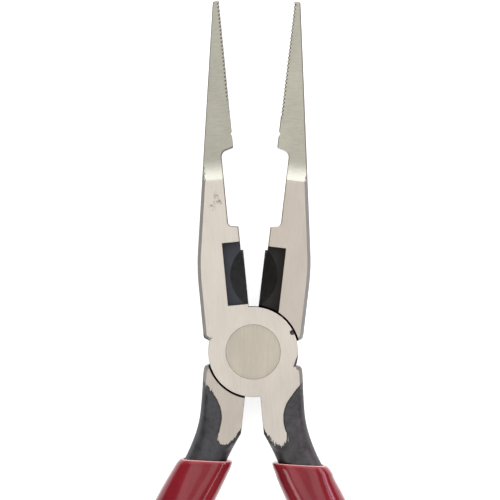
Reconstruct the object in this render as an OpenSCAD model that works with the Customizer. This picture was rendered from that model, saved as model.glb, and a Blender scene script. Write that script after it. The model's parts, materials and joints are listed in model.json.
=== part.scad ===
// Needle nose pliers: two lap-jointed forgings turning on a flush hot rivet, with dipped grips.
// Frame: the pliers lie flat, +Z up, with the pivot axis on Z and the lower ground face on z = 0.
// The nose points along +Y. Each half is drawn closed, then turned open about the pivot.

/* [Joint] */
// Thickness across the ground faces of the joint
joint_t = 11; // [9:0.5:12]
// Radius of the round lap plate
plate_r = 10.3; // [9.8:0.1:10.4]
// Radial gap between a lap plate and the round seat in the other half
seat_gap = 0.45; // [0.2:0.05:0.5]
// Gap between the two lap plates
lap_gap = 0.04; // [0.02:0.01:0.1]
// Angle that each half stands open, as drawn
half_open = 6.1; // [0:0.1:15]

/* [Rivet] */
// Radius of the rivet's flush head
rivet_head_r = 6.25; // [5.6:0.05:6.6]
// Radius of the rivet's shank
rivet_shank_r = 4.7; // [4:0.05:5]
// Depth of the rivet's countersunk head
rivet_head_h = 2.4; // [1.5:0.1:3]
// Radial running clearance between the rivet and the half that turns on it
rivet_clearance = 0.05; // [0.02:0.01:0.1]

/* [Jaw] */
// Distance from the pivot to the nose tip
nose_reach = 81; // [74:0.2:88]
// Distance from the closing plane to the outside of the jaw at the joint
jaw_w = 11; // [10.8:0.1:11.6]
// Taper of the jaw's outer side
jaw_taper = 8.85; // [8.6:0.05:9]
// Distance from the pivot to the crest where the nose is ground thinner
nose_start = 40; // [38:0.5:42]
// Thickness of the nose at its root
nose_root_t = 8.4; // [6.5:0.1:9]
// Thickness of the nose at its tip
nose_tip_t = 2.8; // [2:0.1:4]
// Radius of the grinding wheel that leaves the crest
nose_blend_r = 11; // [4:0.5:14]
// Width of the bevel along the jaw's outer edges
edge_bevel_w = 0.8; // [0.3:0.1:1]
// Depth of that bevel
edge_bevel_h = 1.4; // [0.6:0.1:2]

/* [Gripping faces] */
// Spacing of the gripping teeth
tooth_pitch = 0.9; // [0.8:0.05:1.2]
// Depth of the gripping teeth
tooth_depth = 0.3; // [0.2:0.05:0.45]
// Distance from the pivot to the last tooth
teeth_end = 54.5; // [53:0.5:60]
// Depth of the pipe grip hollow
hollow_depth = 2.9; // [2:0.1:3.4]
// Set-back of the short land behind the cutter
land_gap = 0.6; // [0.3:0.1:1]

/* [Cutter] */
// Width of the relief beside the cutting edge
relief_w = 4.75; // [4:0.05:5.5]
// Depth of the relief below the ground face
relief_d = 1.6; // [1:0.1:2]

/* [Handles] */
// Angle that the handles splay outwards below the joint
splay = 20.6; // [18:0.1:22]
// Thickness of the forged handle beside the ground face
handle_t = 10; // [8.5:0.1:10.4]
// Width of the grip at mid length
grip_w = 12.8; // [12:0.1:14]
// Thickness of the grip
grip_t = 11; // [10.4:0.1:11]
// Distance from the pivot to the end of the grips
grip_reach = 126.5; // [120:0.5:132]

/* [Hidden] */
$fn = 96;
over = 1;                        // how far a cutting solid runs past a face
mid_z = joint_t / 2;
seat_r = plate_r + seat_gap;
closing_gap = 0.02;              // each gripping face stands this far off the closing plane

// Gripping side of the jaw, as distances from the closing plane and from the pivot
hollow_top = 47.1;               // where the hollow leaves the gripping face
hollow_top_r = 1.5;
hollow_top_turn = 75;
hollow_top_drop = 0.5;           // the short slope beyond the upper arc
hollow_foot = 28.9;
hollow_foot_r = 1;
hollow_foot_turn = 80;
hollow_foot_rise = 0.2;          // the same before the lower arc
relief_tops = [25.45, 24.4];     // on the plate side, and on the seat side
edge_top = 23.5;                 // top of the cutting edge
relief_feet = [11, 8];           // the second one runs out into the seat
notch_y = 50.3;
notch_w = 1.1;
notch_d = 0.45;
first_tooth_y = nose_reach - tooth_pitch * 0.8;
groove_half = tooth_pitch * 0.4; // half the width of a groove's cut

// Outer side of the jaw
jaw_bend_y = 16.5;
jaw_bend_r = 50;
shoulder = [9.95, 3.6];
shoulder_corner = [10.6, 3.85];
shoulder_bevel_y = 4.6;
tip_bevel = 0.2;
bevel_bend = [0.05, 18.5];       // where the bevel turns, as a set-back from jaw_w and as a height

// Cutter: the hollow-ground scoop is a wheel's cut at an angle to the face
edge_web = 0.15;                 // half thickness of the metal left at the cutting edge
blade_w = 0.5;                   // width of the bevel behind the cutting edge
scoop_r = 10.3;
scoop_u = 3.6;
scoop_y = 17.2;
scoop_tilt = 45;
scoop_l = 30;

// Handle neck: straight from the joint, then a bend outwards
neck_inner = 0.65;
neck_outer = 10.75;
neck_x = 5.65;
neck_bend_y = -16;
neck_bend_r = 22;
straight_end_y = -37;
palm_bend_r = 100;
heel_bend_r = 380;
tang_end_y = -123;
rim_y = -25.5;                   // where the grip starts, on the handle's centre line
rim_tilt = -9;                   // the dip line falls this much towards the outside
rim_blend = 14;                  // length over which the sections turn to the dip line
dip_shift = -0.35;               // the dip is thicker on the inside, near the rim
dip_shift_end_y = -60;           // below this the grip is centred on the tang
grip_power = 2.6;
tang_power = 3.6;
sleeve_sides = 20;
grip_end_r = 6;

// Ground face of the handle, which ends in a rounded tongue beside the black neck
neck_top_y = -5;                 // inside the joint plate
neck_foot_y = -18;
neck_foot = [4, -19.5];
neck_heel = [10.45, -16.5];
neck_bulge_y = -5.4;
neck_shoulder = [9.6, -4.2];
tongue_inner_y = -17.6;
tongue_c = [3.9, -20.5];
tongue_r = 1.8;
tongue_turn = [220, 370];
tongue_side = [5.2, -16.8];
tongue_outer = [10.6, -8.7];
scallop_c = [14, -16.8];
scallop_r = 8.8;

// Knock at the rim of the plate
knock_turn = 22;
knock_set_back = 0.45;
knock_r = 0.5;
knock_d = 0.6;

function arc(c, r, a0, a1, n = 8) =
    [for (i = [0 : n]) let (a = a0 + (a1 - a0) * i / n) c + r * [cos(a), sin(a)]];

// ---------- handle centre line ----------
neck_end_y = neck_bend_y - neck_bend_r * sin(splay);
neck_end_x = neck_x + neck_bend_r * (1 - cos(splay));
straight_end_x = neck_end_x + (neck_end_y - straight_end_y) * tan(splay);
palm_end_y = straight_end_y - palm_bend_r * sin(splay);
palm_end_x = straight_end_x + palm_bend_r * (1 - cos(splay));

// Direction of the centre line at y, as its angle outwards from -Y
function lean(y) =
    y > neck_bend_y ? 0
    : y > neck_end_y ? asin((neck_bend_y - y) / neck_bend_r)
    : y > straight_end_y ? splay
    : y > palm_end_y ? asin((y - palm_end_y) / palm_bend_r)
    : -asin((palm_end_y - y) / heel_bend_r);

// Sideways place of the centre line at y
function centre_x(y) =
    y > neck_bend_y ? neck_x
    : y > neck_end_y ? neck_x + neck_bend_r * (1 - cos(lean(y)))
    : y > straight_end_y ? neck_end_x + (neck_end_y - y) * tan(splay)
    : y > palm_end_y ? palm_end_x - palm_bend_r * (1 - cos(lean(y)))
    : palm_end_x - heel_bend_r * (1 - cos(lean(y)));

// Direction of a cross-section: square to the centre line, but along the dip line at the rim
function section_angle(y) = lookup(y, [
    [-grip_reach, lean(y)], [rim_y - rim_blend, lean(y)], [rim_y, rim_tilt], [neck_bend_y, 0]]);

// One closed ring across the handle: a superellipse of width w and thickness t, moved outwards by shift
function ring(y, w, t, power, sides, shift = 0) =
    let (turn = section_angle(y), reach = w / 2 / cos(turn - lean(y)))
    [for (i = [0 : sides - 1])
        let (a = 360 * i / sides, c = cos(a), s = sin(a),
             along = reach * sign(c) * pow(abs(c), 2 / power),
             up = t / 2 * sign(s) * pow(abs(s), 2 / power))
        [centre_x(y) + shift + along * cos(turn), y + along * sin(turn), mid_z + up]];

// Triangles between ring k and ring k + 1, seen from outside
function band(k, n) = [for (i = [0 : n - 1]) let (a = k * n + i, b = k * n + (i + 1) % n)
    each [[a, b, b + n], [a, b + n, a + n]]];
function cap(k, n) = [for (i = [0 : n - 1]) k * n + i];
function reversed(v) = [for (i = [len(v) - 1 : -1 : 0]) v[i]];

module sweep(rings) {
    n = len(rings[0]);
    last = len(rings) - 1;
    faces = concat([reversed(cap(0, n))], [for (k = [0 : last - 1]) each band(k, n)], [cap(last, n)]);
    polyhedron([for (r = rings) each r], [for (f = faces) reversed(f)]);
}

// ---------- the jaw ----------
function gripping_side() = concat(
    [[closing_gap, 0], [closing_gap, edge_top], [land_gap, edge_top], [land_gap, hollow_foot]],
    arc([hollow_depth - hollow_foot_r, hollow_foot + hollow_foot_rise + hollow_foot_r],
        hollow_foot_r, -hollow_foot_turn, 0),
    arc([hollow_depth - hollow_top_r, hollow_top - hollow_top_drop - hollow_top_r * sin(hollow_top_turn)],
        hollow_top_r, 0, hollow_top_turn),
    [[closing_gap, hollow_top],
     [closing_gap, notch_y - notch_w / 2], [closing_gap + notch_d, notch_y],
     [closing_gap, notch_y + notch_w / 2],
     [closing_gap, nose_reach]]);

taper_start = [jaw_w - jaw_bend_r * (1 - cos(jaw_taper)), jaw_bend_y + jaw_bend_r * sin(jaw_taper)];
function taper_x(y) = taper_start[0] - (y - taper_start[1]) * tan(jaw_taper);

function outer_side() = concat(
    [[taper_x(nose_reach) - tip_bevel, nose_reach],
     [taper_x(nose_reach - tip_bevel), nose_reach - tip_bevel]],
    arc([jaw_w - jaw_bend_r, jaw_bend_y], jaw_bend_r, jaw_taper, 0),
    [[jaw_w, shoulder_bevel_y], shoulder_corner, shoulder]);

// A bevel along the outer edge of the upper face, from a to b
module edge_bevel(a, b) {
    d = b - a;
    translate([a[0], a[1], joint_t])
        rotate([0, 0, atan2(d[1], d[0])])
            translate([-over, 0, 0])
                rotate([90, 0, 90])
                    linear_extrude(norm(d) + 2 * over)
                        polygon([[0, -edge_bevel_h], [0, over],
                                 [edge_bevel_w + over, over], [edge_bevel_w, 0]]);
}

// The wheel-ground slope that thins the nose on the upper side
module nose_grind() {
    drop = joint_t / 2 - nose_root_t / 2;
    slope = atan((nose_root_t - nose_tip_t) / 2 / (nose_reach - nose_start));
    run = sqrt(pow(nose_blend_r, 2) - pow(nose_blend_r - drop, 2));
    translate([-over, nose_start + run, mid_z + nose_root_t / 2]) {
        rotate([-slope, 0, 0])
            cube([jaw_w + 2 * over, nose_reach, joint_t]);
        translate([0, 0, nose_blend_r])
            rotate([0, 90, 0])
                cylinder(r = nose_blend_r, h = jaw_w + 2 * over);
    }
}

// Relief and hollow-ground bevel on the upper side of the cutting edge
module cutter_relief(foot, top) {
    floor_z = joint_t - relief_d;
    translate([-over, foot, floor_z])
        cube([relief_w + over, top - foot, relief_d + over]);
    translate([0, foot, 0])
        rotate([90, 0, 180])
            mirror([1, 0, 0])
                linear_extrude(edge_top - foot)
                    polygon([[-over, mid_z + edge_web], [closing_gap, mid_z + edge_web],
                             [closing_gap + blade_w, floor_z], [closing_gap + blade_w, joint_t],
                             [-over, joint_t]]);
    intersection() {
        translate([scoop_u, scoop_y, floor_z])
            rotate([0, -scoop_tilt, 0])
                translate([0, 0, scoop_r])
                    rotate([0, 90, 0])
                        cylinder(r = scoop_r, h = scoop_l, center = true);
        translate([-over, foot, mid_z + edge_web])
            cube([relief_w + over, edge_top - foot, joint_t]);
    }
}

// The jaw, on the +X side of the closing plane
module jaw() {
    difference() {
        linear_extrude(joint_t)
            difference() {
                polygon(concat(gripping_side(), outer_side()));
                for (y = [first_tooth_y : -tooth_pitch : teeth_end])
                    polygon([[-over, y - groove_half - over], [closing_gap + tooth_depth, y],
                             [-over, y + groove_half + over]]);
            }
        for (side = [0, 1])
            translate([0, 0, side * joint_t])
                mirror([0, 0, side]) {
                    nose_grind();
                    edge_bevel([jaw_w, 0], [jaw_w, bevel_bend[1]]);
                    edge_bevel([jaw_w - bevel_bend[0], bevel_bend[1]], [taper_x(nose_start), nose_start]);
                }
    }
}

// ---------- the handle ----------
// The face left bright by the surface grinder, ending in a rounded tongue
module ground_tongue() {
    difference() {
        polygon(concat(
            [[neck_inner, neck_top_y], [neck_inner, tongue_inner_y]],
            arc(tongue_c, tongue_r, tongue_turn[0], tongue_turn[1]),
            [tongue_side, tongue_outer, [neck_outer, neck_bulge_y], neck_shoulder]));
        translate(scallop_c)
            circle(r = scallop_r);
    }
}

module neck() {
    polygon([[neck_inner, neck_top_y], [neck_inner, neck_foot_y], neck_foot, neck_heel,
             [neck_outer, neck_bulge_y], neck_shoulder]);
}

// Thinning tang that runs down inside the grip
module tang() {
    sweep(tang_rings(concat([-15, -17.5, -20, -22.5], tang_stations)));
}
tang_stations = [rim_y, -28, -31, -34.5, -39, -45, -52, -60, -69, -78, -88, -98, -108, -116, tang_end_y];
function tang_rings(stations) = [for (y = stations) ring(y, tang_w(y), tang_t(y), tang_power, sleeve_sides)];
function tang_w(y) = lookup(y, [[tang_end_y, 7.4], [-60, 8.4], [-30, 9], [-24, 9.1], [-15, 9.9]]);
function tang_t(y) = lookup(y, [[tang_end_y, 7], [-60, 8.4], [-25, 9.3], [-15, handle_t]]);

// ---------- one whole forging, closed, jaw on -X and handle on +X, lap plate on top ----------
module forging(head_clearance) {
    difference() {
        union() {
            mirror([1, 0, 0])
                difference() {
                    jaw();
                    for (side = [0, 1])
                        translate([0, 0, side * joint_t])
                            mirror([0, 0, side]) cutter_relief(relief_feet[side], relief_tops[side]);
                }
            translate([0, 0, mid_z])
                cylinder(r = plate_r, h = mid_z);
            linear_extrude(joint_t)
                ground_tongue();
            translate([0, 0, (joint_t - handle_t) / 2])
                linear_extrude(handle_t)
                    neck();
            tang();
        }
        translate([0, 0, -over])
            cylinder(r = seat_r, h = mid_z + lap_gap / 2 + over);
        rivet_solid(head_clearance);
        knock();
    }
}

// Small round knock at the rim of the plate
module knock() {
    rotate([0, 0, knock_turn])
        translate([plate_r - knock_set_back, 0, joint_t - knock_d])
            cylinder(r = knock_r, h = knock_d + over, $fn = 24);
}

// The rivet, or the hole for it when grown by a clearance
module rivet_solid(grow) {
    far = grow > 0 ? over : 0;
    translate([0, 0, -far])
        cylinder(r = rivet_shank_r + grow, h = joint_t + 2 * far);
    for (side = [0, 1])
        translate([0, 0, side * joint_t])
            mirror([0, 0, side]) {
                cylinder(r1 = rivet_head_r + grow, r2 = rivet_shank_r + grow, h = rivet_head_h);
                if (grow > 0)
                    translate([0, 0, -over]) cylinder(r = rivet_head_r + grow, h = over);
            }
}

// ---------- dipped grip: a closed sleeve around the tang ----------
function grip_width(y) = lookup(y, [[-110, grip_w - 0.3], [-75, grip_w], [-50, grip_w - 0.2],
                                    [-34.5, grip_w - 0.5], [-28.8, grip_w - 1], [rim_y - 1.6, 11.4],
                                    [rim_y, 10.7]]);
function grip_shift(y) = lookup(y, [[dip_shift_end_y, 0], [-36, dip_shift + 0.1], [rim_y, dip_shift]]);
grip_stations = [rim_y - 0.4, rim_y - 1.6, -28.8, -31.5, -34.5, -39, -45, -52, -60, -69, -78, -88,
                 -98, -108, -115];
rim_w = 10.2;                    // width of the rounded rim's inner line
rim_t = 10;                      // thickness there, and just below it
lip_t = 10.6;
end_w = 2.5;                     // flat at the very end of the grip
end_t = 2;

function grip_ring(y, w, t, shift = 0) = ring(y, w, t, grip_power, sleeve_sides, shift);
function grip_outer() = concat(
    [grip_ring(rim_y, rim_w, rim_t, dip_shift)],
    [grip_ring(grip_stations[0], grip_width(grip_stations[0]), lip_t, dip_shift)],
    [for (i = [1 : len(grip_stations) - 1]) let (y = grip_stations[i])
        grip_ring(y, grip_width(y), grip_t, grip_shift(y))],
    [for (a = [0 : 15 : 75]) let (y = -grip_reach + grip_end_r * (1 - sin(a)), k = sqrt(cos(a)))
        grip_ring(y, grip_width(y) * k, grip_t * k)],
    [grip_ring(-grip_reach, end_w, end_t)]);

module grip() {
    outside = grip_outer();
    inside = tang_rings(tang_stations);
    n = sleeve_sides;
    a = len(outside);
    b = len(inside);
    faces = concat(
        [for (k = [0 : a - 2]) each band(k, n)],
        [cap(a - 1, n)],
        [for (k = [a : a + b - 2]) for (f = band(k, n)) reversed(f)],
        [reversed(cap(a + b - 1, n))],
        [for (i = [0 : n - 1]) let (j = (i + 1) % n, p = a * n)
            each [[i, p + j, j], [i, p + i, p + j]]]);
    polyhedron([for (r = concat(outside, inside)) each r], [for (f = faces) reversed(f)]);
}

// ---------- the two halves in place ----------
module as_left_jaw() {
    rotate([0, 0, half_open]) children();
}
module as_right_jaw() {
    rotate([0, 0, -half_open])
        translate([0, 0, joint_t])
            rotate([0, 180, 0]) children();
}

module left_jaw_forging() { color("#d9cfc4") as_left_jaw() forging(0); }
module right_jaw_forging() { color("#cbc0b5") as_right_jaw() forging(rivet_clearance); }
module pivot_rivet() { color("#c2bbae") rivet_solid(0); }
module right_handle_grip() { color("#a01f30") as_left_jaw() grip(); }
module left_handle_grip() { color("#a01f30") as_right_jaw() grip(); }

left_jaw_forging();
right_jaw_forging();
pivot_rivet();
right_handle_grip();
left_handle_grip();
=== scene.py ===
"""Needle nose pliers: forged halves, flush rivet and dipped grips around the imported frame."""
import json
import math

import bmesh
import bpy
import numpy as np
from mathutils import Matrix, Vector
from mathutils.geometry import delaunay_2d_cdt


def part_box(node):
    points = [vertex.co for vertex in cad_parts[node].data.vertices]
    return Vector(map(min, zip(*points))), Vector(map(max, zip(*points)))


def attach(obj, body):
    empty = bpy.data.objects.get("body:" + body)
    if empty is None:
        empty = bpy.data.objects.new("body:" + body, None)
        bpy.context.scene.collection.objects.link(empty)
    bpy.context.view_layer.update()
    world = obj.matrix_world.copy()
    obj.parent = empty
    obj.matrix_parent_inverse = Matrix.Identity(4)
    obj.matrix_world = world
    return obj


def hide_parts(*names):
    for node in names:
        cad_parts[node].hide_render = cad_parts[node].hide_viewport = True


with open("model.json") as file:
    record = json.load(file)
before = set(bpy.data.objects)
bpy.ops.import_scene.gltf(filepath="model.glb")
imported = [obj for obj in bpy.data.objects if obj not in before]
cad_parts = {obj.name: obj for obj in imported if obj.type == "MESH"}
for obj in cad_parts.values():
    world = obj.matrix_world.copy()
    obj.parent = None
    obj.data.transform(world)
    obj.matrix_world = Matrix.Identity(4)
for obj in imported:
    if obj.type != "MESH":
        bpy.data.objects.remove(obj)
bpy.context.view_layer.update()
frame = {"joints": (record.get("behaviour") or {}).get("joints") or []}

# ---------- sizes in mm, pliers closed: pivot on Z, nose along +Y, jaw on -X, handle on +X ----------
MM = 0.001
JOINT_T = (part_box("pivot_rivet")[1][2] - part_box("pivot_rivet")[0][2]) / MM
RIVET_R = (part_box("pivot_rivet")[1][0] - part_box("pivot_rivet")[0][0]) / MM / 2
HALF_OPEN = -frame["joints"][0]["range_deg"][0] / 2
MID = JOINT_T / 2
PLATE_R = 10.3
SEAT_R = 10.75
LAP_GAP = 0.04
SHANK_R = 4.7
HEAD_H = 2.4
HEAD_DRESS = 0.03               # how far the head's edge is dressed
HEAD_SEAM = 0.02                # between the head and the steel around it

NOSE_REACH = 80.95
NOSE_START = 40.0
NOSE_ROOT_T = 8.4
NOSE_TIP_T = 2.8
NOSE_BLEND_R = 11.0
JAW_W = 11.0
JAW_TAPER = math.radians(8.85)
JAW_BEND_Y = 16.5
JAW_BEND_R = 50.0
CLOSING_GAP = 0.02
TOOTH_PITCH = 0.9
TOOTH_DEPTH = 0.3
FIRST_TOOTH = 0.8               # from the tip to the first groove, in pitches
GROOVE_HALF = 0.42              # half a groove's width, in pitches
TEETH_END = 54.6
NOTCH = ((0, 49.75), (0.45, 50.3), (0, 50.85))      # depth and place of the notch below the teeth
BEVEL_W = 0.8
BEVEL_H = 1.4

EDGE_TOP = 23.5
LAND_GAP = 0.6
EDGE_HALF = 0.15                # half the metal left at the cutting edge
HOLLOW_FOOT = 28.9
HOLLOW_FOOT_R = 1
HOLLOW_FOOT_RISE = 1.2          # from the foot to its corner's centre
HOLLOW_DEPTH = 2.9
HOLLOW_TOP = 47.1
HOLLOW_TOP_R = 1.5
HOLLOW_TOP_TURN = 75            # degrees that the upper corner turns through
HOLLOW_TOP_DROP = 0.5
RECESS_W = 4.75
RECESS_D = 1.6
RECESS_Y = {"plate": (11.0, 25.45), "seat": (8.0, 24.4)}
WALL = 0.08                     # how far the recess's steep walls lean in
BLADE_W = 0.5                   # bevel behind the cutting edge
SCOOP_R = 10.3                  # hollow ground into the recess, at 45 degrees to the face
SCOOP_U = 3.6
SCOOP_Y = 17.2
KNOCK = (9.99, 20.8)            # radius and angle of an old knock on the plate's rim
KNOCK_DEPTH = 0.4

SPLAY = math.radians(20.6)
GRIP_REACH = 126.5
TANG_END_Y = -123.0
TANG_END_HALF = 2.4
THROAT_X = 0.66                 # half the space between the handles, just below the plate
CROWN_SLOPE = 0.10              # how the forged handle falls away beyond its ground tongue
CROWN_BEND = 0.022
CROWN_REACH = 5
CROWN_BLEND = 1.5               # over which the tang's own thickness takes over
GRIPPING_EDGE_R = 0.2
GROUND_EDGE_R = 0.12
BEVEL_CLEAR = (0.05, 0.55)      # outside the plate, where the bevels begin and where they are full
BEVEL_FADE_Y = (-10.5, -8.5)    # where the handle's bevel runs out

# how fine the forging's mesh is
JAW_STEP = 0.4
HANDLE_STEP = 0.45
RIM_STEPS = 70
CREASE_STEP = 0.4
SAME_POINT = 0.012              # outline points nearer than this are one
EDGE_RINGS = (0.02, 0.06, 0.12, 0.3, BEVEL_W, 1.0)  # rows of points inside the outline
FORGED_RINGS = (1.4, 1.85)      # and two more along the handle's round edges
FORGED_RINGS_Y = -6
FINE_GRID = 0.45
COARSE_GRID = 1.1
TANG_GRID = 3.0
FILLET_GRID = 0.4
WALL_LEVELS = 5
CUTTER_SEGMENTS = 256
RIVET_SEGMENTS = 192


# ---------- plane curves ----------
def arc(centre, radius, start, end, steps=8):
    angles = np.radians(np.linspace(start, end, steps + 1))
    return [(centre[0] + radius * math.cos(a), centre[1] + radius * math.sin(a)) for a in angles]


def spline(points, steps=6):
    """Catmull-Rom curve through the points."""
    p = np.array([points[0]] + list(points) + [points[-1]], float)
    out = []
    for i in range(1, len(p) - 2):
        for t in np.arange(steps) / steps:
            out.append(0.5 * (2 * p[i] + (p[i + 1] - p[i - 1]) * t
                              + (2 * p[i - 1] - 5 * p[i] + 4 * p[i + 1] - p[i + 2]) * t ** 2
                              + (3 * p[i] - p[i - 1] - 3 * p[i + 1] + p[i + 2]) * t ** 3))
    return [tuple(q) for q in out] + [tuple(p[-2])]


def resample(points, step):
    """The same path with no segment longer than step; every given point stays."""
    out = []
    for a, b in zip(points[:-1], points[1:]):
        a, b = np.array(a), np.array(b)
        parts = max(1, math.ceil(np.linalg.norm(b - a) / step))
        out += [tuple(a + (b - a) * k / parts) for k in range(parts)]
    return out + [tuple(points[-1])]


def distance(points, path, closed=False):
    """Distance from each point to the path."""
    a = np.array(path, float)
    b = np.roll(a, -1, axis=0) if closed else a[1:]
    a = a if closed else a[:-1]
    d = b - a
    length2 = np.maximum((d ** 2).sum(1), 1e-12)
    out = []
    for block in np.array_split(np.asarray(points, float), max(1, len(points) // 1500)):
        rel = block[:, None, :] - a[None]
        t = np.clip((rel * d[None]).sum(2) / length2, 0, 1)
        out.append(np.sqrt(((rel - t[..., None] * d[None]) ** 2).sum(2).min(1)))
    return np.concatenate(out)


def inside(points, path):
    """True where the point is inside the closed path."""
    p, a = np.asarray(points, float), np.array(path, float)
    b = np.roll(a, -1, axis=0)
    result = np.zeros(len(p), bool)
    for (x0, y0), (x1, y1) in zip(a, b):
        if y0 == y1:
            continue
        crosses = (y0 > p[:, 1]) != (y1 > p[:, 1])
        result ^= crosses & (p[:, 0] < (x1 - x0) * (p[:, 1] - y0) / (y1 - y0) + x0)
    return result


def ramp(value, low, high):
    t = np.clip((value - low) / (high - low), 0, 1)
    return t * t * (3 - 2 * t)


# ---------- handle centre line ----------
NECK_X = 5.65
NECK_BEND_Y = -16.0
NECK_BEND_R = 22.0
STRAIGHT_END_Y = -37.0
PALM_BEND_R = 100.0
HEEL_BEND_R = 380.0
NECK_END_Y = NECK_BEND_Y - NECK_BEND_R * math.sin(SPLAY)
NECK_END_X = NECK_X + NECK_BEND_R * (1 - math.cos(SPLAY))
STRAIGHT_END_X = NECK_END_X + (NECK_END_Y - STRAIGHT_END_Y) * math.tan(SPLAY)
PALM_END_Y = STRAIGHT_END_Y - PALM_BEND_R * math.sin(SPLAY)
PALM_END_X = STRAIGHT_END_X + PALM_BEND_R * (1 - math.cos(SPLAY))


def lean(y):
    """Angle of the centre line outwards from -Y."""
    if y > NECK_BEND_Y:
        return 0.0
    if y > NECK_END_Y:
        return math.asin((NECK_BEND_Y - y) / NECK_BEND_R)
    if y > STRAIGHT_END_Y:
        return SPLAY
    if y > PALM_END_Y:
        return math.asin((y - PALM_END_Y) / PALM_BEND_R)
    return -math.asin((PALM_END_Y - y) / HEEL_BEND_R)


def centre_x(y):
    if y > NECK_BEND_Y:
        return NECK_X
    if y > NECK_END_Y:
        return NECK_X + NECK_BEND_R * (1 - math.cos(lean(y)))
    if y > STRAIGHT_END_Y:
        return NECK_END_X + (NECK_END_Y - y) * math.tan(SPLAY)
    if y > PALM_END_Y:
        return PALM_END_X - PALM_BEND_R * (1 - math.cos(lean(y)))
    return PALM_END_X - HEEL_BEND_R * (1 - math.cos(lean(y)))


def table(*pairs):
    """Linear lookup between (place, value) pairs, constant beyond them."""
    low_to_high = sorted(pairs)
    xs, ys = [p[0] for p in low_to_high], [p[1] for p in low_to_high]
    return lambda v: np.interp(v, xs, ys)


tang_width = table((-123, 7.4), (-60, 8.4), (-30, 9.0), (-24, 9.1))


# ---------- outline of one forging ----------
TAPER_START = (JAW_W - JAW_BEND_R * (1 - math.cos(JAW_TAPER)), JAW_BEND_Y + JAW_BEND_R * math.sin(JAW_TAPER))
FIRST_GROOVE_Y = NOSE_REACH - TOOTH_PITCH * FIRST_TOOTH
JAW_CORNER_R = 0.9
JAW_CORNER_Y = 4.75
JAW_SHOULDER = (9.97, 3.6)
HANDLE_OUTER = [(9.75, -4.25), (10.42, -4.5), (10.74, -4.95), (10.8, -6), (10.7, -8), (10.5, -12),
                (10.45, -16), (10.75, -19), (11.45, -22.2), (12.5, -25.6)]
HANDLE_INNER = [(THROAT_X, -12), (0.62, -18.4), (0.78, -19.3), (1.6, -21.3), (2.75, -24.4)]


def taper_x(y):
    return TAPER_START[0] - (y - TAPER_START[1]) * math.tan(JAW_TAPER)


def gripping_side():
    """From the plate to the tip, as (distance from the closing plane, distance from the pivot)."""
    g = CLOSING_GAP
    marks = sorted([y for pair in RECESS_Y.values() for y in (pair[1], pair[1] - WALL)])
    out = [(g, PLATE_R), (g, RECESS_Y["plate"][0]), (g, RECESS_Y["plate"][0] + WALL), (g, EDGE_TOP)]
    out += [(LAND_GAP, EDGE_TOP)] + [(LAND_GAP, y) for y in marks]
    out += [(LAND_GAP, HOLLOW_FOOT)]
    foot_centre = (HOLLOW_DEPTH - HOLLOW_FOOT_R, HOLLOW_FOOT + HOLLOW_FOOT_RISE)
    out += arc(foot_centre, HOLLOW_FOOT_R, -80, 0, 10)
    top_y = HOLLOW_TOP - HOLLOW_TOP_DROP - HOLLOW_TOP_R * math.sin(math.radians(HOLLOW_TOP_TURN))
    out += arc((HOLLOW_DEPTH - HOLLOW_TOP_R, top_y), HOLLOW_TOP_R, 0, HOLLOW_TOP_TURN, 12)
    out += [(g, HOLLOW_TOP)] + [(g + depth, y) for depth, y in NOTCH]
    half = TOOTH_PITCH * GROOVE_HALF
    for y in np.arange(FIRST_GROOVE_Y, TEETH_END, -TOOTH_PITCH)[::-1]:
        out += [(g, y - half), (g + TOOTH_DEPTH, y), (g, y + half)]
    return out + [(g, NOSE_REACH - 0.1), (g + 0.12, NOSE_REACH)]


def outer_side():
    """From the tip to the joint, on the jaw's outer side."""
    tip = taper_x(NOSE_REACH)
    out = [(tip - 0.3, NOSE_REACH), (tip - 0.08, NOSE_REACH - 0.07), (tip, NOSE_REACH - 0.3)]
    out += arc((JAW_W - JAW_BEND_R, JAW_BEND_Y), JAW_BEND_R, math.degrees(JAW_TAPER), 0, 10)
    corner = arc((JAW_W - JAW_CORNER_R, JAW_CORNER_Y), JAW_CORNER_R, 0, -75, 6)
    return out + [(JAW_W, 5.4)] + corner + [JAW_SHOULDER]


def tang_side(side):
    """The hidden part of the tang, inside the grip."""
    out = []
    for y in np.arange(-30, TANG_END_Y, -4):
        reach, turn = side * tang_width(y) / 2, lean(y)
        out.append((centre_x(y) + reach * math.cos(turn), y + reach * math.sin(turn)))
    return out


def polar(x, y):
    return math.degrees(math.atan2(y, x))


def forging_outline():
    """The closed outline in five parts: jaw's inner and outer side, plate rim, handle, plate rim."""
    jaw_in = resample([(-u, y) for u, y in gripping_side()], JAW_STEP)
    jaw_out = resample([(-u, y) for u, y in outer_side()], JAW_STEP)
    shoulder = polar(-JAW_SHOULDER[0], JAW_SHOULDER[1])
    throat = -math.degrees(math.acos(THROAT_X / PLATE_R)) + 360
    handle_top = polar(*HANDLE_OUTER[0])
    rim_a = arc((0, 0), PLATE_R, shoulder, throat, RIM_STEPS)
    inner = spline([(THROAT_X, -10.6)] + HANDLE_INNER + tang_side(-1)[:2], 8) + tang_side(-1)[2:]
    outer = spline(HANDLE_OUTER + tang_side(1)[:2], 8) + tang_side(1)[2:]
    end_x = centre_x(TANG_END_Y)
    end = [(end_x - TANG_END_HALF, TANG_END_Y), (end_x + TANG_END_HALF, TANG_END_Y)]
    handle = inner + end + outer[::-1]
    rim_b = arc((0, 0), PLATE_R, handle_top, 90, RIM_STEPS)
    return jaw_in, jaw_out, rim_a, resample(handle, HANDLE_STEP), rim_b


# ---------- the ground area of the handle: a tongue that ends in the black oxide ----------
TONGUE = [(13, -6.2), (11.2, -7.6), (9.9, -8.6), (8.1, -10.4), (6.35, -12.6), (5.46, -15), (5.36, -17.2),
          (5.7, -19.4), (5.4, -21.1), (4.35, -21.9), (3.1, -21.3), (1.7, -19.6), (0.9, -17.9), (-1, -15)]


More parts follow.
